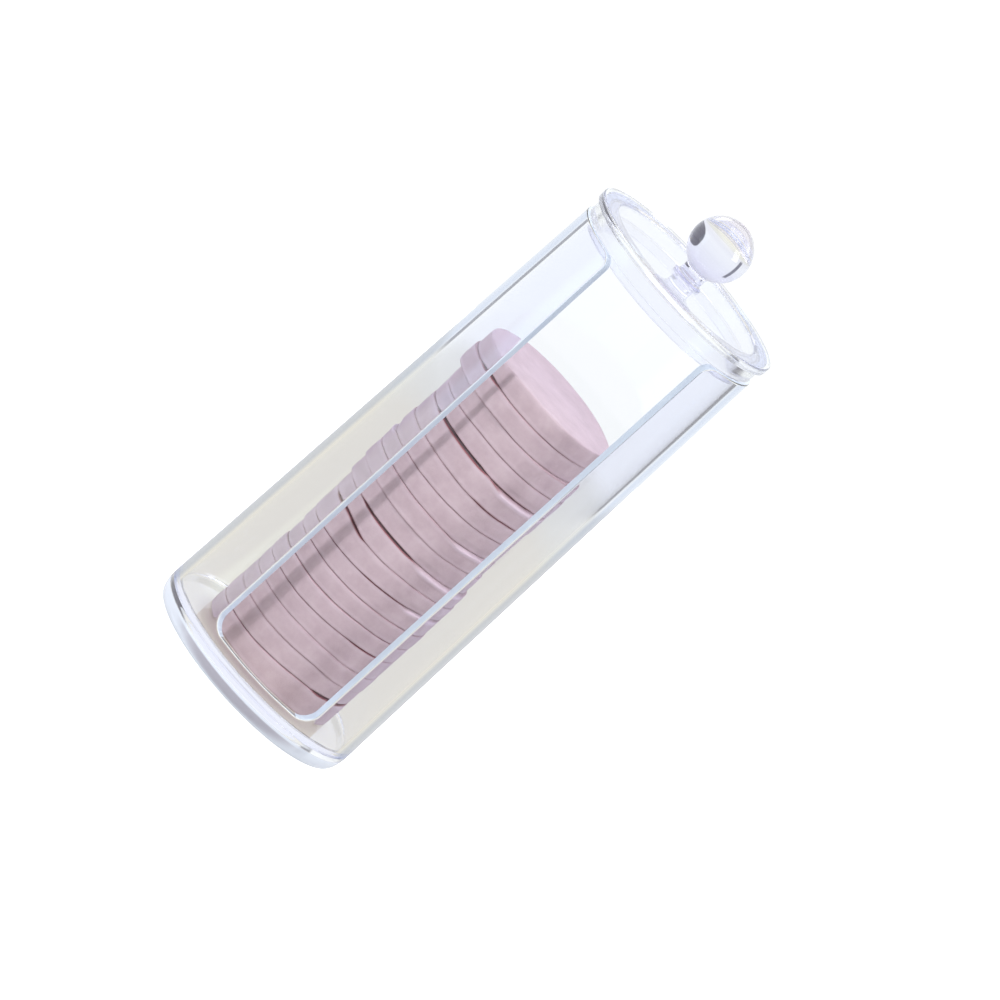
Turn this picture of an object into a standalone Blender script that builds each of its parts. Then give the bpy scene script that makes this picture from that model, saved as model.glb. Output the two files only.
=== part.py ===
"""Cotton pad dispenser.

An upright clear acrylic tube with a tall front slot that is open at the top,
bonded to a thick clear base disc.  A lift-off lid, made of a top disc, a
locating collar and a ball knob, closes the mouth.  Inside stands a leaning
stack of thick round cotton pads.

Frame: metres, +Z up, origin at the centre of the base's underside, and the
slot faces -Y.
"""
import math

import bmesh
import bpy

MM = 0.001

# ---------------------------------------------------------------- dimensions
GAP = 0.3 * MM               # bond line or seating gap between two pieces

# holder
BASE_R = 42.5 * MM           # outer radius at the foot of the wall
RIM_R = 39.2 * MM            # outer radius at the mouth
RIM_Z = 193.5 * MM           # height of the mouth
WALL = 3.4 * MM              # wall thickness of the tube
PLATE_H = 7.0 * MM           # height of the base disc's flange
FLOOR_Z = 9.0 * MM           # inside floor, on the base disc's spigot
FOOT_R = 40.1 * MM           # radius of the flat underside
FOOT_ARC = 6.2 * MM          # height of the rounding above the underside
SEGMENTS = 64                # facets round the turned holder and lid pieces

# front slot
SLOT_CHORD = 46.8 * MM       # outer width, the same all the way up
SLOT_Z = 12.7 * MM           # bottom edge
SLOT_CORNER = 5.7 * MM       # lower corners
LIP_CORNER = 4.2 * MM        # rounded ends of the wall at the mouth

# lid
LID_R = 39.9 * MM
LID_Z0 = 198.8 * MM          # underside of the disc
LID_Z1 = 201.7 * MM          # raised rim of the disc
LID_RECESS_R = 32.5 * MM     # shallow step in the top face
LID_RECESS = 0.6 * MM
COLLAR_R = 38.4 * MM         # the part of the collar that shows
PLUG_R = 35.3 * MM           # the part inside the mouth
COLLAR_BORE = 32.4 * MM
PLUG_Z = 190.4 * MM          # lower end of the plug
KNOB_R = 11.2 * MM
KNOB_Z = 216.2 * MM          # centre of the ball
NECK_R = 4.6 * MM
NECK_FOOT_R = 6.0 * MM

# pads, from the bottom up
PAD_R = 28.0 * MM
PAD_GAP = 0.3 * MM
PAD_EDGE = 1.2 * MM          # bevel of a pad's edge
PAD_FACETS = 36
# height of the seam over each pad; the last is the top of the stack
PAD_SEAMS = (18.1, 25.3, 32.3, 39.5, 46.3, 53.2, 60.1, 68.2, 75.3,
             82.7, 89.9, 97.1, 104.7, 113.4, 120.7, 128.0, 135.3, 142.6)
# sideways and depth place of each pad in the loose stack
PAD_PLACES = ((1.3, 0.0), (1.2, 0.2), (1.4, -0.1), (1.3, 0.1), (1.2, -0.2),
              (1.4, 0.1), (1.2, 0.2), (0.9, -0.2), (0.6, -0.3), (-0.3, 0.3),
              (-0.9, -0.3), (-1.0, 0.2), (-0.9, 0.0), (-0.7, -0.4),
              (-0.5, 0.3), (-0.8, 0.0), (-3.2, -0.2), (-2.4, 0.1))

CLEAR = (0.90, 0.92, 0.97, 0.25)
CLEAR_KNOB = (0.86, 0.88, 0.96, 0.30)
COTTON = (0.60, 0.47, 0.53, 1.0)


# ------------------------------------------------------------------- helpers
def clear_scene():
    for obj in list(bpy.data.objects):
        bpy.data.objects.remove(obj, do_unlink=True)
    for block in (bpy.data.meshes, bpy.data.curves, bpy.data.materials,
                  bpy.data.collections):
        for item in list(block):
            block.remove(item)


def collection(name):
    made = bpy.data.collections.new(name)
    bpy.context.scene.collection.children.link(made)
    return made


def principled(name, colour, roughness, transmission=0.0, metallic=0.0):
    mat = bpy.data.materials.new(name)
    mat.use_nodes = True
    shader = mat.node_tree.nodes["Principled BSDF"]
    shader.inputs["Base Color"].default_value = colour[:3] + (1.0,)
    shader.inputs["Roughness"].default_value = roughness
    shader.inputs["Metallic"].default_value = metallic
    shader.inputs["Transmission Weight"].default_value = transmission
    shader.inputs["IOR"].default_value = 1.49 if transmission else 1.45
    mat.diffuse_color = colour
    return mat


def arc(cx, cz, radius, start, end, steps):
    """Points on a circle in the profile plane; angles in degrees."""
    points = []
    for i in range(steps + 1):
        angle = math.radians(start + (end - start) * i / steps)
        points.append((cx + radius * math.cos(angle),
                       cz + radius * math.sin(angle)))
    return points


def turned(name, profile, where, material, facets=SEGMENTS, ring=False):
    """Turn a profile of (radius, height) points round Z.

    The profile runs down the outer side.  A ring's profile is a closed loop;
    any other starts and ends on the axis.
    """
    mesh = bpy.data.meshes.new(name)
    bm = bmesh.new()
    verts = [bm.verts.new((r, 0.0, z)) for r, z in profile]
    for a, b in zip(verts, verts[1:]):
        bm.edges.new((a, b))
    if ring:
        bm.edges.new((verts[-1], verts[0]))
    bm.to_mesh(mesh)
    bm.free()
    obj = bpy.data.objects.new(name, mesh)
    where.objects.link(obj)
    mesh.materials.append(material)
    screw = obj.modifiers.new("turn", "SCREW")
    screw.axis = "Z"
    screw.angle = math.tau
    screw.steps = screw.render_steps = facets
    screw.use_merge_vertices = True
    screw.merge_threshold = 0.00002
    screw.use_smooth_shade = True
    if not ring:
        weld = obj.modifiers.new("axis", "WELD")
        weld.merge_threshold = 0.00002
    return obj


def wall_radius(z):
    """Outer radius of the tapering wall."""
    return BASE_R + (RIM_R - BASE_R) * z / RIM_Z


# ----------------------------------------------------------------- the slot
def slot_outline():
    """Half of the front slot as (sideways over depth, height) points.

    The slot's cheeks are radial, so its width grows in proportion to the
    depth from the axis.  The ratio is the one that keeps the outer chord
    constant on the tapering wall.
    """
    def ratio(x, z):
        outer = wall_radius(z)
        return x / math.sqrt(outer * outer - x * x)

    half = SLOT_CHORD / 2
    points = [(0.0, SLOT_Z)]
    for x, z in arc(half - SLOT_CORNER, SLOT_Z + SLOT_CORNER, SLOT_CORNER,
                    -90, 0, 7):
        points.append((ratio(x, z), z))
    for i in range(1, 6):
        z = SLOT_Z + SLOT_CORNER + (RIM_Z - LIP_CORNER - SLOT_Z
                                    - SLOT_CORNER) * i / 6
        points.append((ratio(half, z), z))
    lip = arc(half + LIP_CORNER, RIM_Z - LIP_CORNER, LIP_CORNER, 180, 105, 6)
    for x, z in lip:
        points.append((ratio(x, z), z))
    # carry the last chord of the lip on through the plane of the mouth
    (x0, z0), (x1, z1) = lip[-2], lip[-1]
    rise = RIM_Z + 0.4 * MM - z1
    run = rise * (x1 - x0) / (z1 - z0)
    points.append((ratio(x1 + run, RIM_Z), z1 + rise))
    points.append((points[-1][0], RIM_Z + 8 * MM))
    points.append((0.0, RIM_Z + 8 * MM))
    return points


def slot_cutter(where):
    right = slot_outline()
    outline = right[1:-1] + [(-u, z) for u, z in reversed(right[1:-1])]
    mesh = bpy.data.meshes.new("slot_cutter")
    bm = bmesh.new()
    near, far = [], []
    for u, z in outline:
        near.append(bm.verts.new((u * 22 * MM, -22 * MM, z)))
        far.append(bm.verts.new((u * 60 * MM, -60 * MM, z)))
    count = len(outline)
    for i in range(count):
        j = (i + 1) % count
        bm.faces.new((near[i], near[j], far[j], far[i]))
    bm.faces.new(near)
    bm.faces.new(list(reversed(far)))
    bmesh.ops.triangulate(bm, faces=bm.faces)
    bmesh.ops.recalc_face_normals(bm, faces=bm.faces)
    bm.to_mesh(mesh)
    bm.free()
    cutter = bpy.data.objects.new("slot_cutter", mesh)
    where.objects.link(cutter)
    cutter.hide_render = True
    cutter.display_type = "WIRE"
    return cutter


# --------------------------------------------------------------- the pieces
def make_holder(parts, cutters):
    acrylic = principled("clear_acrylic_body", CLEAR, 0.03, 1.0)
    base_acrylic = principled("clear_acrylic_base", CLEAR, 0.03, 1.0)

    foot_z = PLATE_H + GAP
    edge = 0.5 * MM
    # the loop runs over the mouth, down the outside, in under the foot and
    # back up the bore
    profile = [(RIM_R - WALL + edge, RIM_Z), (RIM_R - edge, RIM_Z),
               (RIM_R, RIM_Z - edge), (wall_radius(foot_z), foot_z),
               (wall_radius(foot_z) - WALL, foot_z),
               (RIM_R - WALL, RIM_Z - edge)]
    tube = turned("body_tube", profile, parts, acrylic, ring=True)
    cutter = slot_cutter(cutters)
    cut = tube.modifiers.new("front_slot", "BOOLEAN")
    cut.operation = "DIFFERENCE"
    cut.solver = "EXACT"
    cut.object = cutter

    # base disc: spigot in the bore, flange under the wall, rounded foot
    spigot_r = wall_radius(PLATE_H) - WALL - GAP
    plate = [(0.0, FLOOR_Z), (spigot_r - 0.4 * MM, FLOOR_Z),
             (spigot_r, FLOOR_Z - 0.4 * MM), (spigot_r, PLATE_H),
             (wall_radius(PLATE_H) - 0.2 * MM, PLATE_H),
             (wall_radius(PLATE_H), PLATE_H - 0.2 * MM)]
    for i in range(1, 7):
        t = math.radians(90.0 * i / 6)
        plate.append((FOOT_R + (wall_radius(FOOT_ARC) - FOOT_R)
                      * math.cos(t) ** 0.9,
                      FOOT_ARC * (1.0 - math.sin(t))))
    plate.append((0.0, 0.0))
    turned("base_plate", plate, parts, base_acrylic)


def make_lid(parts):
    acrylic = principled("clear_acrylic_lid", CLEAR, 0.03, 1.0)
    collar_acrylic = principled("clear_acrylic_collar", CLEAR, 0.03, 1.0)
    knob_acrylic = principled("clear_acrylic_knob", CLEAR_KNOB, 0.02, 1.0)

    step = 0.5 * MM
    disc = [(0.0, LID_Z1 - LID_RECESS),
            (LID_RECESS_R, LID_Z1 - LID_RECESS),
            (LID_RECESS_R + step, LID_Z1)]
    disc += arc(LID_R - 0.7 * MM, LID_Z1 - 0.7 * MM, 0.7 * MM, 90, 0, 3)
    disc += arc(LID_R - 0.5 * MM, LID_Z0 + 0.5 * MM, 0.5 * MM, 0, -90, 2)
    disc += [(0.0, LID_Z0)]
    turned("lid_disc", disc, parts, acrylic)

    top, seat = LID_Z0 - GAP, RIM_Z + GAP
    collar = [(COLLAR_BORE, top), (COLLAR_R, top), (COLLAR_R, seat),
              (PLUG_R, seat), (PLUG_R, PLUG_Z + 0.8 * MM),
              (PLUG_R - 0.5 * MM, PLUG_Z), (COLLAR_BORE, PLUG_Z)]
    turned("lid_collar", collar, parts, collar_acrylic, ring=True)

    # ball, waist and foot of the knob, from the top down
    foot = LID_Z1 - LID_RECESS + GAP
    join = math.degrees(math.asin((NECK_R + 0.5 * MM) / KNOB_R)) - 90.0
    knob = [(0.0, KNOB_Z + KNOB_R)]
    knob += arc(0.0, KNOB_Z, KNOB_R, 90, join, 15)[1:]
    waist = knob[-1][1]
    knob += [(NECK_R, waist - 0.7 * MM), (NECK_R, foot + 1.6 * MM),
             (NECK_R + 0.4 * MM, foot + 0.9 * MM),
             (NECK_FOOT_R, foot + 0.5 * MM), (NECK_FOOT_R, foot),
             (0.0, foot)]
    turned("knob_ball", knob, parts, knob_acrylic, facets=36)


def make_pads(parts):
    cotton = principled("pink_cotton", COTTON, 0.95)
    bottom = FLOOR_Z + GAP
    for i, (seam, (x, y)) in enumerate(zip(PAD_SEAMS, PAD_PLACES)):
        top = seam * MM - PAD_GAP / 2
        half = (top - bottom) / 2
        profile = [(0.0, half)]
        profile += [(PAD_R - PAD_EDGE, half), (PAD_R, half - PAD_EDGE),
                    (PAD_R, PAD_EDGE - half), (PAD_R - PAD_EDGE, -half)]
        profile += [(0.0, -half)]
        pad = turned("cotton_pad_%02d" % (i + 1), profile, parts, cotton,
                     facets=PAD_FACETS)
        pad.location = (x * MM, y * MM, bottom + half)
        bottom = top + PAD_GAP


def main():
    clear_scene()
    parts = collection("cotton_pad_dispenser")
    cutters = collection("cutters")
    make_holder(parts, cutters)
    make_lid(parts)
    make_pads(parts)


main()
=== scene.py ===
"""Looks of the cotton pad dispenser: clear acrylic holder and lid, soft cotton
pads, a pale floor, studio light and the camera."""
import math

import bmesh  # noqa: E402
import bpy  # noqa: E402
import numpy as np  # noqa: E402
from mathutils import Matrix, Vector, noise  # noqa: E402


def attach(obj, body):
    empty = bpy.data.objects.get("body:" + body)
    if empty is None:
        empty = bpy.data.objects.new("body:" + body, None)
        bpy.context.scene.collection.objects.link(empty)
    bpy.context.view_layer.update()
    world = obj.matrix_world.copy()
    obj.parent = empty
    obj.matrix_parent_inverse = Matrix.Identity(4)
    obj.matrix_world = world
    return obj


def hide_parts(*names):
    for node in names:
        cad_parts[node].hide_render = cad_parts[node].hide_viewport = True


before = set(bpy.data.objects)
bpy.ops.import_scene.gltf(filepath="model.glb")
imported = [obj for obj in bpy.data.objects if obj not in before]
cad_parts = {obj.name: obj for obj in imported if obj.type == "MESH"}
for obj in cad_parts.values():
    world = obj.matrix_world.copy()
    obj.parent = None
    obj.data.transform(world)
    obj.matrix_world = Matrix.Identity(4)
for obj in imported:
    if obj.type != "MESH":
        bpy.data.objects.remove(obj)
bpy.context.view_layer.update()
MM = 0.001
scene = bpy.context.scene

# --------------------------------------------------------------- dimensions
BASE_R, RIM_R, RIM_Z, WALL = 42.5 * MM, 39.2 * MM, 193.5 * MM, 3.4 * MM
PLATE_H, FLOOR_Z = 7.0 * MM, 9.0 * MM
FOOT_R, FOOT_ARC = 40.1 * MM, 6.2 * MM
SLOT_CHORD, SLOT_Z = 46.8 * MM, 12.7 * MM
SLOT_CORNER, LIP_CORNER = 5.7 * MM, 4.2 * MM
LID_R, LID_Z0, LID_Z1 = 39.9 * MM, 198.8 * MM, 201.7 * MM
LID_RECESS_R, LID_RECESS = 32.5 * MM, 0.6 * MM
COLLAR_R, PLUG_R, COLLAR_BORE = 38.4 * MM, 35.3 * MM, 32.4 * MM
PLUG_Z = 190.4 * MM
KNOB_R, KNOB_Z = 11.2 * MM, 216.2 * MM
NECK_R, NECK_FOOT_R = 4.6 * MM, 6.0 * MM
BOND = 0.02 * MM             # cemented pieces meet without a visible gap
AROUND = 576                 # facets round the turned pieces


# ------------------------------------------------------------------- camera
def make_camera():
    """Long lens, a little above the object, rolled so the object leans."""
    side = math.radians(4.0)
    tilt = math.radians(13.0)
    roll = math.radians(48.0)
    distance = 2.7
    back = Vector((-math.sin(side) * math.cos(tilt),
                   -math.cos(side) * math.cos(tilt), math.sin(tilt)))
    right = Vector((math.cos(side), -math.sin(side), 0.0))
    aim = Vector((0.0, 0.0, 0.1046)) + right * 0.0127
    data = bpy.data.cameras.new("camera")
    data.lens = 293.5
    data.sensor_width = 36.0
    data.clip_start, data.clip_end = 0.05, 30.0
    cam = bpy.data.objects.new("camera", data)
    scene.collection.objects.link(cam)
    cam.rotation_mode = "QUATERNION"
    cam.location = aim + back * distance
    turn = (-back).to_track_quat("-Z", "Y")
    cam.rotation_quaternion = turn @ Matrix.Rotation(
        roll, 3, "Z").to_quaternion()
    scene.camera = cam
    return cam


# ------------------------------------------------------------ mesh building
def finish_mesh(name, bm, body, stands_for, material, angle=40.0):
    bmesh.ops.recalc_face_normals(bm, faces=bm.faces)
    mesh = bpy.data.meshes.new(name)
    bm.to_mesh(mesh)
    bm.free()
    mesh.shade_smooth()
    mesh.set_sharp_from_angle(angle=math.radians(angle))
    for mat in material if isinstance(material, tuple) else (material,):
        mesh.materials.append(mat)
    obj = bpy.data.objects.new(name, mesh)
    scene.collection.objects.link(obj)
    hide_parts(*stands_for)
    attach(obj, body)
    return obj


def rounded(corners, closed=False, steps=5, support=0.35 * MM):
    """A profile with filleted corners: corners are (radius, height, fillet).

    Beside every corner goes a support point, so that smooth shading keeps
    the long faces flat."""
    count = len(corners)
    points = []

    def put(p):
        p = (max(p[0], 0.0), p[1])
        if not points or math.dist(points[-1], p) > 0.004 * MM:
            points.append(p)

    for i, (r, z, fillet) in enumerate(corners):
        here = Vector((r, z))
        if not closed and i in (0, count - 1):
            put((r, z))
            continue
        a = Vector(corners[i - 1][:2])
        b = Vector(corners[(i + 1) % count][:2])
        to_a, to_b = (a - here), (b - here)
        len_a, len_b = to_a.length, to_b.length
        to_a.normalize()
        to_b.normalize()
        turn = math.acos(max(-1.0, min(1.0, to_a.dot(to_b))))
        if fillet <= 0.0:
            keep = min(support, 0.3 * len_a, 0.3 * len_b)
            put(here + to_a * keep)
            put((r, z))
            put(here + to_b * keep)
            continue
        cut = fillet / math.tan(turn / 2)
        middle = here + (to_a + to_b).normalized() * (
            fillet / math.sin(turn / 2))
        start, end = here + to_a * cut, here + to_b * cut
        if cut + support < 0.49 * len_a:
            put(start + to_a * support)
        from_v, to_v = start - middle, end - middle
        sweep = from_v.angle_signed(to_v)
        for k in range(steps + 1):
            v = from_v.copy()
            v.rotate(Matrix.Rotation(-sweep * k / steps, 2))
            put(middle + v)
        if cut + support < 0.49 * len_b:
            put(end + to_b * support)
    return points


def lathe(profile, closed=False, around=AROUND):
    """Turn a profile of (radius, height) points round the axis."""
    bm = bmesh.new()
    rings = []
    for r, z in profile:
        if r < 1e-6:
            rings.append([bm.verts.new((0.0, 0.0, z))])
        else:
            rings.append([bm.verts.new((r * math.cos(math.tau * k / around),
                                        r * math.sin(math.tau * k / around),
                                        z)) for k in range(around)])
    pairs = list(zip(rings, rings[1:]))
    if closed:
        pairs.append((rings[-1], rings[0]))
    for upper, lower in pairs:
        for k in range(around):
            j = (k + 1) % around
            face = [upper[k % len(upper)], upper[j % len(upper)],
                    lower[j % len(lower)], lower[k % len(lower)]]
            unique = []
            for v in face:
                if v not in unique:
                    unique.append(v)
            if len(unique) > 2:
                bm.faces.new(unique)
    return bm


def wall_radius(z):
    return BASE_R + (RIM_R - BASE_R) * z / RIM_Z


def arc(cx, cz, radius, start, end, steps):
    return [(cx + radius * math.cos(math.radians(start + (end - start) * i / steps)),
             cz + radius * math.sin(math.radians(start + (end - start) * i / steps)))
            for i in range(steps + 1)]


# --------------------------------------------------------------------- tube
def tube_bmesh():
    """The wall is cut flat, as a slab with the slot in its upper edge, gets
    its rounded edges, and is then rolled up round the axis."""
    half = SLOT_CHORD / 2
    front, width = 30.0 * MM, 95.7 * MM
    foot = PLATE_H - BOND
    zone = half + 5.0 * MM
    outline = [(-width, foot), (width, foot), (width, RIM_Z)]
    outline += arc(half + LIP_CORNER, RIM_Z - LIP_CORNER, LIP_CORNER,
                   90, 180, 12)
    outline += arc(half - SLOT_CORNER, SLOT_Z + SLOT_CORNER, SLOT_CORNER,
                   0, -90, 16)
    outline += arc(SLOT_CORNER - half, SLOT_Z + SLOT_CORNER, SLOT_CORNER,
                   -90, -180, 16)
    outline += arc(-half - LIP_CORNER, RIM_Z - LIP_CORNER, LIP_CORNER,
                   0, 90, 12)
    outline += [(-width, RIM_Z)]
    bm = bmesh.new()
    outer = [bm.verts.new((x, 0.0, z)) for x, z in outline]
    inner = [bm.verts.new((x, WALL, z)) for x, z in outline]
    bm.faces.new(outer)
    bm.faces.new(list(reversed(inner)))
    count = len(outline)
    for i in range(count):
        j = (i + 1) % count
        bm.faces.new((outer[j], outer[i], inner[i], inner[j]))
    bmesh.ops.recalc_face_normals(bm, faces=bm.faces)
    bm.normal_update()
    edges = []
    for e in bm.edges:
        if len(e.link_faces) != 2 or e.calc_face_angle(0.0) < math.radians(50):
            continue
        x0, x1 = e.verts[0].co.x, e.verts[1].co.x
        if abs(abs(x0) - width) < 1e-6 and abs(abs(x1) - width) < 1e-6:
            continue
        if max(e.verts[0].co.z, e.verts[1].co.z) < foot + 1e-6:
            continue
        edges.append(e)
    bmesh.ops.bevel(bm, geom=edges, offset=0.55 * MM, offset_type="OFFSET",
                    segments=4, profile=0.5, affect="EDGES",
                    clamp_overlap=True)

    def cut(point, normal):
        bmesh.ops.bisect_plane(bm, geom=bm.verts[:] + bm.edges[:] + bm.faces[:],
                               dist=0.01 * MM, plane_co=point,
                               plane_no=normal)

    # the finish of each face: 0 wall, 1 cut edge, 2 wall close to the slot
    bm.normal_update()
    for f in bm.faces:
        centre = f.calc_center_median()
        low = (abs(centre.x) < half - SLOT_CORNER + 0.5 * MM
               and centre.z < SLOT_Z + 0.3 * MM and abs(f.normal.y) < 0.25)
        if (abs(f.normal.y) < 0.60 and centre.z > foot + 1e-6 and not low
                and abs(abs(centre.x) - width) > 1e-6):
            f.material_index = 1
    edge = half + 0.9 * MM
    levels = [RIM_Z - 0.9 * MM, RIM_Z - LIP_CORNER, SLOT_Z - 0.9 * MM,
              SLOT_Z + SLOT_CORNER, foot + 0.4 * MM]
    levels += [SLOT_Z + SLOT_CORNER + k * 6.0 * MM for k in range(1, 28)]
    for z in levels:
        cut((0, 0, z), (0, 0, 1))
    columns = [0.0]
    x = 0.0
    while x < front - 0.01 * MM:
        x += 1.0 * MM
        columns += [x, -x]
    columns += [edge, -edge, zone, -zone]
    steps = 110
    for k in range(1, steps):
        x = front + (width - front) * k / steps
        columns += [x, -x]
    for x in columns:
        cut((x, 0, 0), (1, 0, 0))
    ends = [f for f in bm.faces
            if all(abs(abs(v.co.x) - width) < 1e-6 for v in f.verts)]
    bmesh.ops.delete(bm, geom=ends, context="FACES")
    for f in bm.faces:
        centre = f.calc_center_median()
        if (f.material_index == 0 and abs(centre.x) < zone
                and centre.z > SLOT_Z + 2.0 * MM):
            f.material_index = 2
    for v in bm.verts:
        x, y, z = v.co
        outer_r = wall_radius(z)
        edge_angle = math.asin(front / outer_r)
        if abs(x) <= front:
            angle = math.asin(x / outer_r)
        else:
            share = (abs(x) - front) / (width - front)
            angle = math.copysign(edge_angle + (math.pi - edge_angle) * share,
                                  x)
        r = outer_r - y
        v.co = (r * math.sin(angle), -r * math.cos(angle), z)
    bmesh.ops.remove_doubles(bm, verts=bm.verts, dist=0.003 * MM)
    return bm


def base_bmesh():
    spigot_r = wall_radius(PLATE_H) - WALL + BOND
    side = wall_radius(PLATE_H)
    points = rounded([(0.0, FLOOR_Z, 0), (spigot_r, FLOOR_Z, 0.5 * MM),
                      (spigot_r, PLATE_H, 0), (side, PLATE_H, 0),
                      (wall_radius(FOOT_ARC), FOOT_ARC, 0)])[:-1]
    for i in range(0, 25):
        t = math.radians(90.0 * i / 24)
        points.append((FOOT_R + (wall_radius(FOOT_ARC) - FOOT_R)
                       * math.cos(t) ** 0.9, FOOT_ARC * (1.0 - math.sin(t))))
    points += [(FOOT_R - 0.5 * MM, 0.0), (0.0, 0.0)]
    return lathe(points)


def lid_bmesh():
    step = 0.5 * MM
    return lathe(rounded([
        (0.0, LID_Z1 - LID_RECESS, 0),
        (LID_RECESS_R, LID_Z1 - LID_RECESS, 0.25 * MM),
        (LID_RECESS_R + step, LID_Z1, 0.25 * MM),
        (LID_R, LID_Z1, 0.5 * MM), (LID_R, LID_Z0, 0.35 * MM),
        (0.0, LID_Z0, 0)]))


def collar_bmesh():
    top = LID_Z0 + BOND
    seat = RIM_Z + 0.05 * MM
    return lathe(rounded([
        (COLLAR_BORE, top, 0), (COLLAR_R, top, 0), (COLLAR_R, seat, 0.25 * MM),
        (PLUG_R, seat, 0.0), (PLUG_R, PLUG_Z, 0.5 * MM),
        (COLLAR_BORE, PLUG_Z, 0.4 * MM)], closed=True), closed=True)


def knob_bmesh():
    foot = LID_Z1 - LID_RECESS - BOND
    join = math.degrees(math.asin((NECK_R + 0.6 * MM) / KNOB_R)) - 90.0
    points = arc(0.0, KNOB_Z, KNOB_R, 90, join, 70)
    points[0] = (0.0, KNOB_Z + KNOB_R)
    waist = points[-1]
    points += [(NECK_R + 0.22 * MM, waist[1] - 0.4 * MM),
               (NECK_R, waist[1] - 0.9 * MM), (NECK_R, foot + 1.9 * MM)]
    points += [(NECK_R + 0.9 * MM * (1 - math.cos(math.radians(a))),
                foot + 1.9 * MM - 1.1 * MM * math.sin(math.radians(a)))
               for a in (20, 40, 60, 80, 90)]
    points += [(NECK_FOOT_R - 0.25 * MM, foot + 0.75 * MM),
               (NECK_FOOT_R, foot + 0.5 * MM), (NECK_FOOT_R, foot),
               (0.0, foot)]
    return lathe(points, around=160)


# --------------------------------------------------------------------- pads
PAD_R = 27.9 * MM
# Heights of the seams on the front of the stack, at 20 and 10 mm to the left,
# in the middle, and at 10 and 20 mm to the right.
SEAM_X = (-20.0, -10.0, 0.0, 10.0, 20.0)
SEAMS = (
    (16.5, 17.0, 18.0, 18.9, 19.1), (24.4, 24.7, 25.4, 26.2, 25.8),
    (31.6, 32.0, 32.5, 32.8, 32.7), (38.2, 38.6, 39.5, 40.4, 40.9),
    (45.2, 45.4, 46.1, 47.1, 47.7), (52.3, 52.5, 53.0, 53.8, 54.5),
    (58.5, 59.2, 60.0, 61.0, 62.0), (68.9, 67.4, 67.6, 68.3, 68.7),
    (75.6, 75.3, 75.2, 75.2, 75.0), (82.9, 82.7, 82.6, 82.4, 82.9),
    (90.3, 90.0, 89.8, 89.4, 89.9), (97.0, 96.9, 96.9, 97.1, 97.7),
    (105.2, 104.9, 104.4, 104.3, 104.6), (114.0, 113.7, 113.4, 113.0, 112.9),
    (120.5, 121.0, 120.8, 120.6, 120.6), (128.1, 128.3, 127.9, 127.7, 127.8),
    (135.6, 135.3, 135.2, 135.2, 135.4))
STACK_TOP = (142.4, 142.9, 142.7, 142.5, 142.3)
# Sideways and depth places of the pads, from the bottom up.
PLACES = ((1.3, 0.0), (1.2, 0.2), (1.4, -0.1), (1.3, 0.1), (1.2, -0.2),
          (1.4, 0.1), (1.2, 0.2), (0.9, -0.2), (0.6, -0.3), (-0.3, 0.3),
          (-0.9, -0.3), (-1.0, 0.2), (-0.9, 0.0), (-0.7, -0.4), (-0.5, 0.3),
          (-0.8, 0.0), (-3.2, -0.2), (-2.4, 0.1))
# Places where a pad's edge stands off the one below: seam number from the
# bottom, from and to (degrees round from the front, right positive), height.
GAPS = ((1, 32, 78, 0.65), (4, 20, 62, 0.22), (7, -8, 34, 0.15),
        (8, -72, -20, 0.60), (9, -46, 14, 0.55), (13, 8, 60, 0.22),
        (14, -56, 6, 0.75), (14, 6, 58, 0.30), (17, -55, -28, 0.42),
        (3, 130, 200, 0.5), (10, 150, 230, 0.6), (15, 110, 170, 0.5),
        (6, 190, 260, 0.6), (12, 215, 280, 0.5))
# Places where the top edge of the pad below is rounded off and stands out a
# little, as a ledge that carries a painted highlight.
ROUNDS = ((7, 30, 75, 0.9), (9, 14, 75, 0.9), (11, 22, 75, 0.9),
          (14, 14, 75, 1.0), (2, 130, 190, 0.9), (5, 200, 250, 0.9),
          (16, 95, 150, 1.0), (12, -110, -70, 0.9))


# How deep and round the crease of each seam is, in mm, from the bottom up.
CREASES = (0.20, 0.36, 0.20, 0.14, 0.32, 0.36, 0.30, 0.36, 0.22, 0.30, 0.14,
           0.22, 0.26, 0.20, 0.30, 0.26, 0.26, 0.30, 0.50)


def smooth_noise(x, y, z):
    return noise.noise(Vector((x, y, z)))


def smoothstep(a, b, x):
    t = min(1.0, max(0.0, (x - a) / (b - a)))
    return t * t * (3.0 - 2.0 * t)


def arc_share(angle, start, end, soft=10.0):
    """1 between two directions round the stack, falling off to 0 outside."""
    middle, half = (start + end) / 2, (end - start) / 2
    away = abs((angle - middle + 180.0) % 360.0 - 180.0)
    return 1.0 - smoothstep(half - soft, half + soft * 0.3, away)


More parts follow.
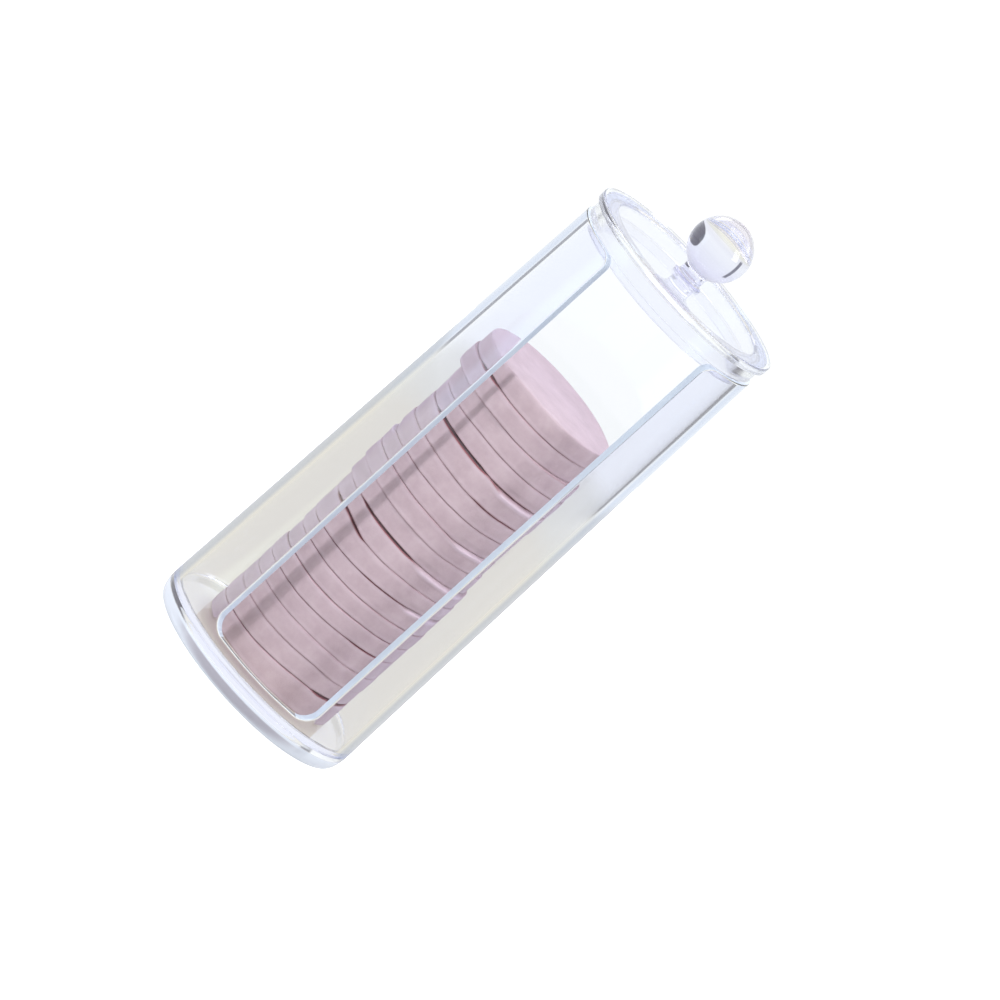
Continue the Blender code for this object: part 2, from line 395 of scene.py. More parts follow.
class Seam:
    """The surface between two pads, from its heights along the front."""

    def __init__(self, number, heights):
        self.number = number
        self.level = sum(heights) / 5
        self.slope = (heights[4] + heights[3] - heights[0] - heights[1]) / 60.0
        self.front = [h - self.level - self.slope * x
                      for h, x in zip(heights, SEAM_X)]
        self.crease = CREASES[number]
        self.gaps = [g[1:] for g in GAPS if g[0] == number]
        self.rounds = [g[1:] for g in ROUNDS if g[0] == number]

    def at(self, x, y):
        """Height of the seam's middle, in mm, for x and y in mm."""
        flat = max(-20.0, min(20.0, x))
        place = (flat + 20.0) / 10.0
        i = min(3, int(place))
        t = place - i
        t = t * t * (3.0 - 2.0 * t) * 0.5 + t * 0.5
        wave = self.front[i] * (1.0 - t) + self.front[i + 1] * t
        front = smoothstep(12.0, -14.0, y) if y < 12.0 else 0.0
        n = smooth_noise(x * 0.05 + self.number * 3.1, y * 0.05, self.number)
        return (self.level + self.slope * x + wave * front
                + 0.7 * n * (1.0 - front))

    def open(self, angle, reach):
        """How far the two pads stand apart; reach is 0 in the middle of the
        pad and 1 on its edge."""
        inner = smoothstep(0.45, 0.98, reach)
        return sum(h * arc_share(angle, a, b) for a, b, h in self.gaps) * inner

    def worn(self, angle, reach):
        """How far the lower pad's top edge drops away at its rim."""
        inner = smoothstep(0.93, 1.0, reach) ** 1.5
        return sum(h * arc_share(angle, a, b) for a, b, h in self.rounds) * inner

    def ledge(self, angle):
        return sum(arc_share(angle, a, b) for a, b, h in self.rounds)


def pad_bmesh(index, low, high):
    """One pressed round pad between two seams; all lengths here in mm."""
    around, seed = 200, index * 7.31
    cx, cy = PLACES[index]
    radius = PAD_R / MM
    bm = bmesh.new()
    # painted shade for the seams between the pads, kept on the vertices
    painted_crevice_shade = bm.verts.layers.float.new("painted_crevice_shade")
    # painted highlight for the rounded rims, kept on the vertices
    painted_edge_highlight = bm.verts.layers.float.new("painted_edge_highlight")
    rows = [0.0, 0.22, 0.42, 0.58, 0.70, 0.79, 0.86, 0.91, 0.945, 0.965,
            0.978]
    rings = []

    def put(angle, share, rise):
        """rise runs from 1 on the top face to -1 on the bottom face."""
        c, s = math.sin(angle), -math.cos(angle)
        degrees = math.degrees(angle)
        rr = radius + 0.22 * smooth_noise(c * 1.4 + seed, s * 1.4, seed)
        rr += 0.10 * smooth_noise(c * 5 + seed, s * 5, seed + 3)
        rim = smoothstep(0.9, 1.0, share)
        stands_out = high.ledge(degrees) * smoothstep(0.3, 0.95, rise)
        set_back = low.ledge(degrees) * smoothstep(0.2, 0.9, -rise)
        rr += (0.30 * stands_out - 0.50 * set_back) * rim
        rr *= share
        x, y = cx + rr * c, cy + rr * s
        top = high.at(x, y) - high.open(degrees, share) * 0.55 - 0.02
        top -= high.worn(degrees, share) + 0.12 * high.crease * rim
        bottom = low.at(x, y) + low.open(degrees, share) * 0.45 + 0.02
        bottom += 0.12 * low.crease * rim
        z = (top + bottom) / 2 + rise * (top - bottom) / 2
        v = bm.verts.new((x * MM, y * MM, z * MM))
        near = high if rise > 0.0 else low
        # painted shade: faces hidden between two pads, and the gaps, get the seam's
        # dark red
        hidden = smoothstep(0.90, 0.995, abs(rise))
        hidden *= smoothstep(0.88, 0.955, share)
        if rise > 0.0:
            hidden *= 1.0 - stands_out * rim
            if index == len(PLACES) - 1:
                hidden = 0.0
        v[painted_crevice_shade] = hidden * min(1.0, near.crease / 0.85
                                  + near.open(degrees, 1.0) * 2.4)
        # painted highlight: the rounded rims are a little paler, and much paler on
        # ledges that stand out, as if lit from above
        edge = smoothstep(0.50, 0.80, abs(rise)) * (1.0 - hidden)
        edge *= 1.0 - smoothstep(0.90, 0.99, abs(rise)) * (1.0 - stands_out)
        v[painted_edge_highlight] = edge * (0.13 + 0.38 * stands_out) * rim
        return v

    def ring(share, rise):
        if share == 0.0:
            return [put(0.0, 0.0, rise)]
        return [put(math.tau * k / around, share, rise)
                for k in range(around)]

    for share in rows:
        rings.append(ring(share, 1.0))
    # the rounded upper edge, the nearly flat side and the lower edge
    thick = 7.2
    for a in (20, 40, 60, 80):
        t = math.radians(a)
        rings.append(ring(1.0 - high.crease * (1 - math.sin(t)) / radius,
                          1.0 - 2 * high.crease * (1 - math.cos(t)) / thick))
    for rise in (0.84, 0.70, 0.52, 0.34, 0.17, 0.0, -0.17, -0.34, -0.52,
                 -0.70, -0.84):
        rings.append(ring(1.0 + 0.0035 * (1 - rise * rise), rise))
    for a in (80, 60, 40, 20):
        t = math.radians(a)
        rings.append(ring(1.0 - low.crease * (1 - math.sin(t)) / radius,
                          -1.0 + 2 * low.crease * (1 - math.cos(t)) / thick))
    for share in reversed(rows):
        rings.append(ring(share, -1.0))
    for upper, lower in zip(rings, rings[1:]):
        for k in range(around):
            j = (k + 1) % around
            face = []
            for v in (upper[k % len(upper)], upper[j % len(upper)],
                      lower[j % len(lower)], lower[k % len(lower)]):
                if v not in face:
                    face.append(v)
            if len(face) > 2:
                bm.faces.new(face)
    # pressed fibres: small slow bumps on the side
    bm.normal_update()
    moves = []
    for v in bm.verts:
        x, y, z = v.co / MM
        n = smooth_noise(x * 0.22 + seed, y * 0.22, z * 0.30)
        n += 0.5 * smooth_noise(x * 0.6, y * 0.6 + seed, z * 0.8)
        out = math.hypot(x - cx, y - cy) / radius
        amount = 0.085 * n * smoothstep(0.9, 1.0, out)
        moves.append(v.normal * min(amount, 0.1) * MM)
    for v, move in zip(bm.verts, moves):
        v.co += move
    return bm


# ---------------------------------------------------------------- materials
def new_material(name):
    mat = bpy.data.materials.new(name)
    mat.use_nodes = True
    nodes, links = mat.node_tree.nodes, mat.node_tree.links
    return mat, nodes, links, nodes["Principled BSDF"], nodes["Material Output"]


def ramp(nodes, stops):
    node = nodes.new("ShaderNodeValToRGB")
    elements = node.color_ramp.elements
    while len(elements) < len(stops):
        elements.new(0.5)
    for element, (pos, colour) in zip(elements, stops):
        element.position = pos
        element.color = tuple(colour) + (1.0,)
    return node


def maths(tree, operation, a, b=None):
    node = tree.nodes.new("ShaderNodeMath")
    node.operation = operation
    for socket, value in zip(node.inputs, (a, b)):
        if isinstance(value, (int, float)):
            socket.default_value = value
        elif value is not None:
            tree.links.new(value, socket)
    return node.outputs["Value"]


def span(tree, value, start, full, last, end):
    """1 from full to last, with soft sides down to 0 at start and at end."""
    sides = []
    for a, b in ((start, full), (end, last)):
        side = tree.nodes.new("ShaderNodeMapRange")
        side.interpolation_type = "SMOOTHSTEP"
        side.inputs["From Min"].default_value = min(a, b)
        side.inputs["From Max"].default_value = max(a, b)
        side.inputs["To Min"].default_value = 0.0 if a < b else 1.0
        side.inputs["To Max"].default_value = 1.0 if a < b else 0.0
        tree.links.new(value, side.inputs["Value"])
        sides.append(side.outputs["Result"])
    return maths(tree, "MULTIPLY", sides[0], sides[1])


def blended(tree, share, below, above):
    """Colour below where share is 0, colour above where it is 1."""
    node = tree.nodes.new("ShaderNodeMix")
    node.data_type = "RGBA"
    for socket, value in ((node.inputs["Factor"], share),
                          (node.inputs[6], below), (node.inputs[7], above)):
        if isinstance(value, tuple):
            socket.default_value = value + (1.0,)
        else:
            tree.links.new(value, socket)
    return node.outputs[2]


def acrylic(name, tint, tint_2, seed=0.0, bump=0.02,
            shadow=(0.98, 0.98, 0.99), grazing=None, foot=None, painted_light_crown=None,
            band=None, frost=(0.0, 0.045)):
    """Polished clear acrylic: a faint cool tint that varies a little, slow
    moulding waves and fine polishing haze. grazing is the deeper tint where
    the outside of the wall is met at a flat angle, foot is the pair of
    colours of the milky rounded lower corner, the second a painted shade that
    the corner takes low down where it is seen face on, with a faint painted
    glow over the corner, painted_light_crown is the lighter tint of the
    knob's cap, painted light that brightens its top, and band is the shadow
    of the strip beside the slot's edge."""
    mat, nodes, links, shader, out = new_material(name)
    shader.inputs["Transmission Weight"].default_value = 1.0
    shader.inputs["IOR"].default_value = 1.49
    coord = nodes.new("ShaderNodeTexCoord")
    shift = nodes.new("ShaderNodeMapping")
    shift.inputs["Location"].default_value = (seed, seed * 0.7, seed * 0.3)
    links.new(coord.outputs["Object"], shift.inputs["Vector"])
    slow = nodes.new("ShaderNodeTexNoise")
    slow.inputs["Scale"].default_value = 22.0
    slow.inputs["Detail"].default_value = 2.0
    links.new(shift.outputs["Vector"], slow.inputs["Vector"])
    colour = ramp(nodes, [(0.25, tint), (0.75, tint_2)])
    links.new(slow.outputs["Fac"], colour.inputs["Fac"])
    shade = colour.outputs["Color"]
    tree = mat.node_tree
    slant = nodes.new("ShaderNodeLayerWeight")
    slant.inputs["Blend"].default_value = 0.5
    place = nodes.new("ShaderNodeSeparateXYZ")
    links.new(coord.outputs["Object"], place.inputs["Vector"])
    x, y, z = (place.outputs[i] for i in range(3))
    out_r = maths(tree, "SQRT", maths(
        tree, "ADD", maths(tree, "MULTIPLY", x, x),
        maths(tree, "MULTIPLY", y, y)))
    level = maths(tree, "DIVIDE", z, RIM_Z)
    if grazing:
        # the outside of the leaning wall lies at BASE_R in this measure
        skin = maths(tree, "ADD", out_r,
                     maths(tree, "MULTIPLY", level, BASE_R - RIM_R))
        flat = maths(tree, "MULTIPLY",
                     span(tree, skin, BASE_R - 1.9 * MM, BASE_R - 1.5 * MM,
                          1.0, 2.0),
                     span(tree, slant.outputs["Facing"], 0.60, 0.72, 2.0, 3.0))
        shade = blended(tree, flat, shade, grazing)
    # painted light: from 3 to 5 mm above its middle upwards, the knob gets a lighter
    # tint than the rest of the ball, to brighten its top
    if painted_light_crown:
        shade = blended(tree, span(tree, z, KNOB_Z + 3.0 * MM,
                                   KNOB_Z + 5.0 * MM, 1.0, 2.0), shade, painted_light_crown)
    if foot:
        outside = nodes.new("ShaderNodeNewGeometry")
        corner = maths(tree, "MULTIPLY",
                       span(tree, z, -0.002, -0.001, 5.0 * MM, 5.7 * MM),
                       span(tree, out_r, FOOT_R - 0.6 * MM,
                            FOOT_R + 0.2 * MM, 1.0, 2.0))
        corner = maths(tree, "MULTIPLY", corner, maths(
            tree, "SUBTRACT", 1.0, outside.outputs["Backfacing"]))
        # painted shade: the lowest part of the corner turns grey where it is seen
        # face on
        painted_low_shade = maths(tree, "MULTIPLY",
                     span(tree, z, -0.002, -0.001, 4.0 * MM, 4.7 * MM),
                     span(tree, slant.outputs["Facing"],
                          -2.0, -1.0, 0.16, 0.42))
        shade = blended(tree, corner, shade,
                        blended(tree, painted_low_shade, foot[0], foot[1]))
        links.new(maths(tree, "SUBTRACT", 1.0,
                        maths(tree, "MULTIPLY", corner, 0.85)),
                  shader.inputs["Transmission Weight"])
        # painted glow: the milky corner gives off a faint bluish light, greyer where
        # the painted shade lies
        links.new(blended(tree, painted_low_shade, (0.90, 0.95, 1.0), (0.30, 0.30, 0.34)),
                  shader.inputs["Emission Color"])
        links.new(maths(tree, "MULTIPLY", corner, 0.13),
                  shader.inputs["Emission Strength"])
    links.new(shade, shader.inputs["Base Color"])
    haze = nodes.new("ShaderNodeTexNoise")
    haze.inputs["Scale"].default_value = 160.0
    haze.inputs["Detail"].default_value = 3.0
    links.new(shift.outputs["Vector"], haze.inputs["Vector"])
    rough = nodes.new("ShaderNodeMapRange")
    rough.inputs["From Min"].default_value = 0.35
    rough.inputs["From Max"].default_value = 0.75
    rough.inputs["To Min"].default_value = frost[0]
    rough.inputs["To Max"].default_value = frost[1]
    links.new(haze.outputs["Fac"], rough.inputs["Value"])
    links.new(rough.outputs["Result"], shader.inputs["Roughness"])
    waves = nodes.new("ShaderNodeTexNoise")
    waves.inputs["Scale"].default_value = 38.0
    waves.inputs["Detail"].default_value = 1.0
    links.new(shift.outputs["Vector"], waves.inputs["Vector"])
    relief = nodes.new("ShaderNodeBump")
    relief.inputs["Strength"].default_value = bump
    relief.inputs["Distance"].default_value = 0.001
    links.new(waves.outputs["Fac"], relief.inputs["Height"])
    links.new(relief.outputs["Normal"], shader.inputs["Normal"])
    # lamps and soft light reach what stands behind the clear wall
    path = nodes.new("ShaderNodeLightPath")
    clear = nodes.new("ShaderNodeBsdfTransparent")
    clear.inputs["Color"].default_value = shadow + (1.0,)
    if band:
        # the strip lies a little further from the slot near the foot and is
        # narrower high up
        across = maths(tree, "MULTIPLY", maths(
            tree, "DIVIDE", maths(tree, "ABSOLUTE", x), out_r),
            maths(tree, "SUBTRACT", BASE_R,
                  maths(tree, "MULTIPLY", level, BASE_R - RIM_R)))
        start = maths(tree, "SUBTRACT", across, maths(
            tree, "MULTIPLY", maths(tree, "SUBTRACT", 0.62, level), 2.0 * MM))
        slim = maths(tree, "ADD", 1.0, maths(
            tree, "MULTIPLY", maths(tree, "MAXIMUM", maths(
                tree, "SUBTRACT", level, 0.25), 0.0), 1.1))
        start = maths(tree, "MULTIPLY", maths(
            tree, "SUBTRACT", start, 23.0 * MM), slim)
        links.new(blended(tree, span(tree, start, -0.4 * MM, 0.2 * MM,
                                     2.9 * MM, 3.8 * MM), shadow, band),
                  clear.inputs["Color"])
    mix = nodes.new("ShaderNodeMixShader")
    links.new(path.outputs["Is Shadow Ray"], mix.inputs["Fac"])
    links.new(shader.outputs["BSDF"], mix.inputs[1])
    links.new(clear.outputs["BSDF"], mix.inputs[2])
    links.new(mix.outputs["Shader"], out.inputs["Surface"])
    return mat


BODY_TINT = ((0.874, 0.884, 0.980), (0.890, 0.899, 0.986))


def acrylic_edge(name):
    """The cut edges of the wall: flame polished, a little milky, with a painted
    glow that stands in for the light that the wall guides to them."""
    mat, nodes, links, shader, out = new_material(name)
    shader.inputs["Transmission Weight"].default_value = 0.38
    # painted glow: the cut edges give off a faint bluish light of their own
    shader.inputs["Emission Color"].default_value = (0.72, 0.80, 1.0, 1.0)
    shader.inputs["Emission Strength"].default_value = 0.34
    shader.inputs["IOR"].default_value = 1.49
    coord = nodes.new("ShaderNodeTexCoord")
    grain = nodes.new("ShaderNodeTexNoise")
    grain.inputs["Scale"].default_value = 240.0
    grain.inputs["Detail"].default_value = 3.0
    links.new(coord.outputs["Object"], grain.inputs["Vector"])
    colour = ramp(nodes, [(0.3, (0.355, 0.405, 0.465)),
                          (0.7, (0.395, 0.450, 0.495))])
    links.new(grain.outputs["Fac"], colour.inputs["Fac"])
    links.new(colour.outputs["Color"], shader.inputs["Base Color"])
    rough = nodes.new("ShaderNodeMapRange")
    rough.inputs["To Min"].default_value = 0.10
    rough.inputs["To Max"].default_value = 0.26
    links.new(grain.outputs["Fac"], rough.inputs["Value"])
    links.new(rough.outputs["Result"], shader.inputs["Roughness"])
    path = nodes.new("ShaderNodeLightPath")
    clear = nodes.new("ShaderNodeBsdfTransparent")
    clear.inputs["Color"].default_value = (0.50, 0.44, 0.42, 1.0)
    mix = nodes.new("ShaderNodeMixShader")
    links.new(path.outputs["Is Shadow Ray"], mix.inputs["Fac"])
    links.new(shader.outputs["BSDF"], mix.inputs[1])
    links.new(clear.outputs["BSDF"], mix.inputs[2])
    links.new(mix.outputs["Shader"], out.inputs["Surface"])
    return mat


def cotton(name):
    """Dusty pink pressed cotton: mottled colour, fine matted fibres."""
    mat, nodes, links, shader, out = new_material(name)
    coord = nodes.new("ShaderNodeTexCoord")
    mottle = nodes.new("ShaderNodeTexNoise")
    mottle.inputs["Scale"].default_value = 120.0
    mottle.inputs["Detail"].default_value = 6.0
    mottle.inputs["Roughness"].default_value = 0.65
    links.new(coord.outputs["Object"], mottle.inputs["Vector"])
    colour = ramp(nodes, [(0.30, (0.386, 0.296, 0.327)),
                          (0.52, (0.435, 0.339, 0.373)),
                          (0.75, (0.484, 0.387, 0.421))])
    links.new(mottle.outputs["Fac"], colour.inputs["Fac"])
    # painted shade: the hidden faces in the seams and gaps between the pads
    # are painted a dark red
    deep = nodes.new("ShaderNodeAttribute")
    deep.attribute_name = "painted_crevice_shade"
    # painted highlight: the rims of the pads are painted a paler lilac
    painted_edge_highlight = nodes.new("ShaderNodeAttribute")
    painted_edge_highlight.attribute_name = "painted_edge_highlight"
    pale = blended(mat.node_tree, painted_edge_highlight.outputs["Fac"],
                   colour.outputs["Color"], (0.68, 0.57, 0.66))
    links.new(blended(mat.node_tree, deep.outputs["Fac"], pale,
                      (0.20, 0.045, 0.052)), shader.inputs["Base Color"])
    shader.inputs["Roughness"].default_value = 0.95
    shader.inputs["Specular IOR Level"].default_value = 0.2
    shader.inputs["Sheen Weight"].default_value = 0.35
    shader.inputs["Sheen Roughness"].default_value = 0.5
    shader.inputs["Sheen Tint"].default_value = (0.95, 0.86, 0.95, 1.0)
    fibres = nodes.new("ShaderNodeTexNoise")
    fibres.inputs["Scale"].default_value = 900.0
    fibres.inputs["Detail"].default_value = 8.0
    fibres.inputs["Roughness"].default_value = 0.7
    fibres.inputs["Distortion"].default_value = 1.2
    links.new(coord.outputs["Object"], fibres.inputs["Vector"])
    relief = nodes.new("ShaderNodeBump")
    relief.inputs["Strength"].default_value = 0.35
    relief.inputs["Distance"].default_value = 0.0004
    links.new(fibres.outputs["Fac"], relief.inputs["Height"])
    links.new(relief.outputs["Normal"], shader.inputs["Normal"])
    return mat


# ------------------------------------------------------------ stage, light
# A bright card stands at the left; directions round the object in degrees,
# with soft sides.
CARD = (270.0, 279.0, 299.0, 306.0)
# Flags and bright panels in the studio: directions, heights, colours, and the
# rays that meet them: all, seen through the plastic, or mirrored in it.
ALL, THROUGH, MIRRORED = None, "Is Transmission Ray", "Is Reflection Ray"
FLAGS = (
    ((207.5, 209.5, 214.5, 216.5), (-20.0, -16.0, 13.0, 18.0),
     (0.24, 0.24, 0.27), THROUGH),
    (CARD, (-30.0, -20.0, 6.0, 10.0), (1.55, 1.90, 2.00), ALL),
    ((107.0, 114.0, 133.0, 140.0), (28.0, 34.0, 46.0, 52.0),
     (4.4, 4.4, 4.5), MIRRORED),
    ((195.0, 202.0, 220.0, 227.0), (16.0, 22.0, 34.0, 40.0),
     (4.2, 4.2, 4.3), MIRRORED),
)
# A dark oval flag: its middle and half sizes in degrees.
DARK, DARK_TINT = (107.0, 2.5, 45.5, 17.8), (0.15, 0.145, 0.165)
MATT_LIGHT = 0.74


def matt_share(tree, path):
    """The room's strength: lower for matt surfaces, so that the lamps model
    the cotton."""
    return maths(tree, "SUBTRACT", 1.0, maths(
        tree, "MULTIPLY", path.outputs["Is Diffuse Ray"], 1.0 - MATT_LIGHT))


def round_from_front(tree, x, y):
    """Degrees round the object: 0 front, 90 right, 180 back, 270 left."""
    turn = maths(tree, "ARCTAN2", x, maths(tree, "MULTIPLY", y, -1.0))
    turn = maths(tree, "MULTIPLY", turn, 180.0 / math.pi)
    return maths(tree, "MODULO", maths(tree, "ADD", turn, 360.0), 360.0)


def make_stage():
    """A round white table with a soft edge; what is seen of it in the clear
    plastic is a warm white, with a painted shadow, dark and brownish, under
    the object."""
    bm = bmesh.new()
    bmesh.ops.create_circle(bm, cap_ends=True, segments=180, radius=0.66)
    mesh = bpy.data.meshes.new("floor")
    bm.to_mesh(mesh)
    bm.free()
    floor = bpy.data.objects.new("floor", mesh)
    floor.location = (0.0, 0.0, -0.0002)
    scene.collection.objects.link(floor)
    mat, nodes, links, shader, out = new_material("pale_floor")
    tree = mat.node_tree
    nodes.remove(shader)
    seen = nodes.new("ShaderNodeBsdfDiffuse")
    seen.inputs["Color"].default_value = (0.9, 0.9, 0.9, 1.0)
    glow = nodes.new("ShaderNodeEmission")
    glow.inputs["Color"].default_value = (1.0, 1.0, 1.0, 1.0)
    glow.inputs["Strength"].default_value = 0.55
    both = nodes.new("ShaderNodeAddShader")
    links.new(seen.outputs["BSDF"], both.inputs[0])
    links.new(glow.outputs["Emission"], both.inputs[1])
    coord = nodes.new("ShaderNodeTexCoord")
    length = nodes.new("ShaderNodeVectorMath")
    length.operation = "LENGTH"
    links.new(coord.outputs["Object"], length.inputs[0])
    away = maths(tree, "DIVIDE", length.outputs["Value"], 0.66)
    # painted shadow: for all rays but the camera's, the middle of the table under
    # the object is a dark brownish colour
    rings = ramp(nodes, [(0.0, (0.48, 0.37, 0.34)), (0.034, (0.48, 0.37, 0.34)),
                         (0.048, (0.94, 0.90, 0.71)), (0.68, (0.94, 0.90, 0.71)),
                         (0.76, (0.92, 0.92, 0.77)), (1.0, (0.94, 0.95, 0.86))])
    links.new(away, rings.inputs["Fac"])
    place = nodes.new("ShaderNodeSeparateXYZ")
    links.new(coord.outputs["Object"], place.inputs["Vector"])
    side = round_from_front(tree, place.outputs["X"], place.outputs["Y"])
    path = nodes.new("ShaderNodeLightPath")
    lit = blended(tree, path.outputs[MIRRORED], rings.outputs["Color"],
                  (0.80, 0.81, 0.85))
    lit = blended(tree, maths(tree, "MULTIPLY",
                              span(tree, side, *CARD),
                              span(tree, away, 0.12, 0.20, 2.0, 3.0)),
                  lit, (1.70, 1.85, 1.50))
    warm = nodes.new("ShaderNodeEmission")
    links.new(lit, warm.inputs["Color"])
    links.new(matt_share(tree, path), warm.inputs["Strength"])
    gone = nodes.new("ShaderNodeBsdfTransparent")
    fade = nodes.new("ShaderNodeMixShader")
    links.new(span(tree, away, 0.885, 0.977, 2.0, 3.0), fade.inputs["Fac"])
    links.new(warm.outputs["Emission"], fade.inputs[1])
    links.new(gone.outputs["BSDF"], fade.inputs[2])
    mix = nodes.new("ShaderNodeMixShader")
    links.new(path.outputs["Is Camera Ray"], mix.inputs["Fac"])
    links.new(fade.outputs["Shader"], mix.inputs[1])
    links.new(both.outputs["Shader"], mix.inputs[2])
    links.new(mix.outputs["Shader"], out.inputs["Surface"])
    mesh.materials.append(mat)


def make_world():
    """A white studio: a large dark flag at the back right and a narrow one at
    the back left draw the lines and streaks in the clear plastic."""
    world = bpy.data.worlds.new("studio")
    scene.world = world
    world.use_nodes = True
    tree = world.node_tree
    nodes, links = tree.nodes, tree.links
    nodes.clear()
    out = nodes.new("ShaderNodeOutputWorld")
    path = nodes.new("ShaderNodeLightPath")
    seen = nodes.new("ShaderNodeBackground")
    seen.inputs["Color"].default_value = (1.0, 1.0, 1.0, 1.0)
    seen.inputs["Strength"].default_value = 1.05
    room = nodes.new("ShaderNodeBackground")
    links.new(matt_share(tree, path), room.inputs["Strength"])
    mix = nodes.new("ShaderNodeMixShader")
    links.new(path.outputs["Is Camera Ray"], mix.inputs["Fac"])
    links.new(room.outputs["Background"], mix.inputs[1])
    links.new(seen.outputs["Background"], mix.inputs[2])
    links.new(mix.outputs["Shader"], out.inputs["Surface"])
    coord = nodes.new("ShaderNodeTexCoord")
    split = nodes.new("ShaderNodeSeparateXYZ")
    links.new(coord.outputs["Generated"], split.inputs["Vector"])
    up = split.outputs["Z"]
    turn = round_from_front(tree, split.outputs["X"], split.outputs["Y"])
    rise = maths(tree, "MULTIPLY", maths(tree, "ARCSINE", up),
                 180.0 / math.pi)
    # brightness by height: pale wall, dimmer ceiling
    height = nodes.new("ShaderNodeMapRange")
    height.inputs["From Min"].default_value = -1.0
    height.inputs["From Max"].default_value = 1.0
    links.new(up, height.inputs["Value"])
    wall = ramp(nodes, [(0.0, (0.80, 0.78, 0.72)), (0.33, (1.02, 1.03, 0.98)),
                        (0.41, (1.13, 1.16, 1.07)), (0.52, (1.06, 1.09, 1.05)),
                        (0.70, (1.00, 1.02, 1.06)),
                        (0.85, (0.80, 0.82, 0.88)), (1.0, (0.70, 0.72, 0.80))])
    links.new(height.outputs["Result"], wall.inputs["Fac"])
    # what the plastic mirrors: a cooler wall and a bright ceiling
    mirrored = path.outputs[MIRRORED]
    colour = blended(tree, maths(tree, "MULTIPLY", mirrored,
                                 span(tree, rise, -91.0, -90.5, -2.0, 6.0)),
                     wall.outputs["Color"], (1.02, 1.05, 1.07))
    colour = blended(tree, maths(tree, "MULTIPLY", mirrored,
                                 span(tree, rise, 32.0, 46.0, 91.0, 92.0)),
                     colour, (2.8, 2.8, 2.9))
    # the dark flags are met in and out of one piece of plastic, and not
    # straight through the tube's clear wall, so that the view through the
    # holder stays clear from every side
    straight = maths(tree, "MULTIPLY", path.outputs["Is Singular Ray"], maths(
        tree, "LESS_THAN", path.outputs["Ray Depth"], 3.5))
    refracted = maths(tree, "MULTIPLY", path.outputs[THROUGH], maths(
        tree, "LESS_THAN", path.outputs["Transmission Depth"], 2.5))
    refracted = maths(tree, "MULTIPLY", refracted,
                      maths(tree, "SUBTRACT", 1.0, straight))
    for (a, b, c, d), (e, f, g, h), shade, rays in FLAGS:
        share = maths(tree, "MULTIPLY", span(tree, turn, a, b, c, d),
                      span(tree, rise, e, f, g, h))
        if rays == THROUGH:
            share = maths(tree, "MULTIPLY", share, refracted)
        elif rays:
            share = maths(tree, "MULTIPLY", share, path.outputs[rays])
        colour = blended(tree, share, colour, shade)
    sides = []
    for value, middle, half in ((turn, DARK[0], DARK[2]),
                                (rise, DARK[1], DARK[3])):
        part = maths(tree, "ABSOLUTE", maths(tree, "SUBTRACT", value, middle))
        sides.append(maths(tree, "POWER",
                           maths(tree, "DIVIDE", part, half), 2.8))
    reach = maths(tree, "ADD", sides[0], sides[1])
    colour = blended(tree, maths(tree, "MULTIPLY", refracted,
                                 span(tree, reach, -2.0, -1.0, 0.90, 1.06)),
                     colour, DARK_TINT)
    links.new(colour, room.inputs["Color"])


def softbox(name, azimuth, elevation, distance, width, height, power,
            colour=(1.0, 1.0, 1.0)):
    data = bpy.data.lights.new(name, "AREA")
    data.shape = "RECTANGLE"
    data.size, data.size_y = width, height
    data.energy = power
    data.color = colour
    lamp = bpy.data.objects.new(name, data)
    a, e = math.radians(azimuth), math.radians(elevation)
    back = Vector((math.sin(a) * math.cos(e), -math.cos(a) * math.cos(e),
                   math.sin(e)))
    lamp.rotation_mode = "QUATERNION"
    lamp.location = Vector((0, 0, 0.1)) + back * distance
    lamp.rotation_quaternion = (-back).to_track_quat("-Z", "Y")
    scene.collection.objects.link(lamp)
    return lamp


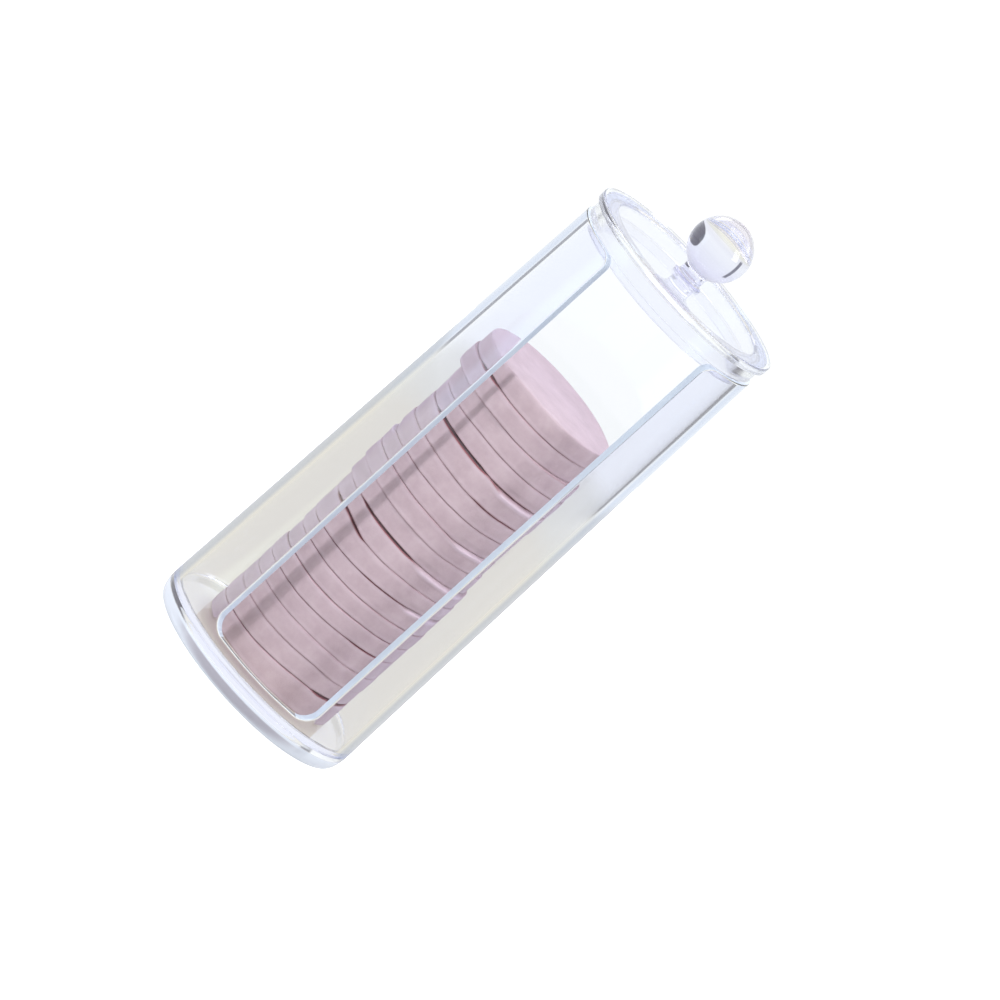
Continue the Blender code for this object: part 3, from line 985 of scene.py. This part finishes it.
def main():
    make_camera()

    body = acrylic("clear_body", BODY_TINT[0], BODY_TINT[1], 0.3,
                   grazing=(0.385, 0.455, 0.70), frost=(0.0, 0.003))
    base = acrylic("clear_base", (0.960, 0.962, 0.985), (0.975, 0.975, 0.992),
                   1.7, foot=((0.60, 0.635, 0.71), (0.33, 0.318, 0.37)),
                   bump=0.005, frost=(0.0, 0.015))
    lid = acrylic("clear_lid", (0.874, 0.886, 0.96), (0.894, 0.90, 0.97), 2.9,
                  bump=0.003, frost=(0.0, 0.012))
    collar = acrylic("clear_collar", (0.88, 0.885, 0.955), (0.90, 0.905, 0.965),
                     4.1, frost=(0.09, 0.17))
    knob = acrylic("clear_knob", (0.75, 0.755, 0.90), (0.78, 0.785, 0.92), 5.3,
                   bump=0.004, painted_light_crown=(0.97, 0.97, 0.985),
                   frost=(0.006, 0.045))
    cut_edge = acrylic_edge("clear_cut_edge")
    body_rim = acrylic("clear_body_by_slot", BODY_TINT[0], BODY_TINT[1], 0.3,
                       grazing=(0.385, 0.455, 0.70), band=(0.30, 0.25, 0.24),
                       frost=(0.0, 0.003))
    finish_mesh("tube_shell", tube_bmesh(), "holder", ["body_tube"],
                (body, cut_edge, body_rim))
    finish_mesh("base_disc", base_bmesh(), "holder", ["base_plate"],
                base)
    finish_mesh("lid_top", lid_bmesh(), "lid", ["lid_disc"],
                lid)
    finish_mesh("lid_ring", collar_bmesh(), "lid", ["lid_collar"],
                collar)
    finish_mesh("lid_knob", knob_bmesh(), "lid", ["knob_ball"],
                knob)

    pink = cotton("pink_cotton")
    count = len(PLACES)
    floor = FLOOR_Z / MM + 0.25
    seams = [Seam(0, (floor,) * 5)]
    seams += [Seam(i + 1, heights) for i, heights in enumerate(SEAMS)]
    seams.append(Seam(count, STACK_TOP))
    for i in range(count):
        pad = finish_mesh("pad_%02d" % (i + 1),
                          pad_bmesh(i, seams[i], seams[i + 1]),
                          "top_pad" if i == count - 1 else "pad_stack",
                          ["cotton_pad_%02d" % (i + 1)], pink,
                          angle=75.0)

    make_stage()
    make_world()
    key = softbox("key", -44.5, 12.0, 1.3, 0.15, 1.0, 8.8)
    key.visible_glossy = False
    key.visible_transmission = False
    softbox("fill", 60.0, 30.0, 1.5, 0.6, 0.9, 6.8)
    for name, azimuth, elevation, power in (("left", -85.0, 15.0, 4.4),
                                            ("back", 165.0, 25.0, 5.0)):
        lamp = softbox(name, azimuth, elevation, 1.5, 0.8, 0.9, power)
        lamp.visible_glossy = False
        lamp.visible_transmission = False
    softbox("top", 0.0, 88.0, 1.3, 0.9, 0.9, 6.0)
    scene.view_settings.view_transform = "Standard"
    scene.cycles.max_bounces = 40
    scene.cycles.transmission_bounces = 40
    scene.cycles.transparent_max_bounces = 16
    scene.cycles.glossy_bounces = 24


main()
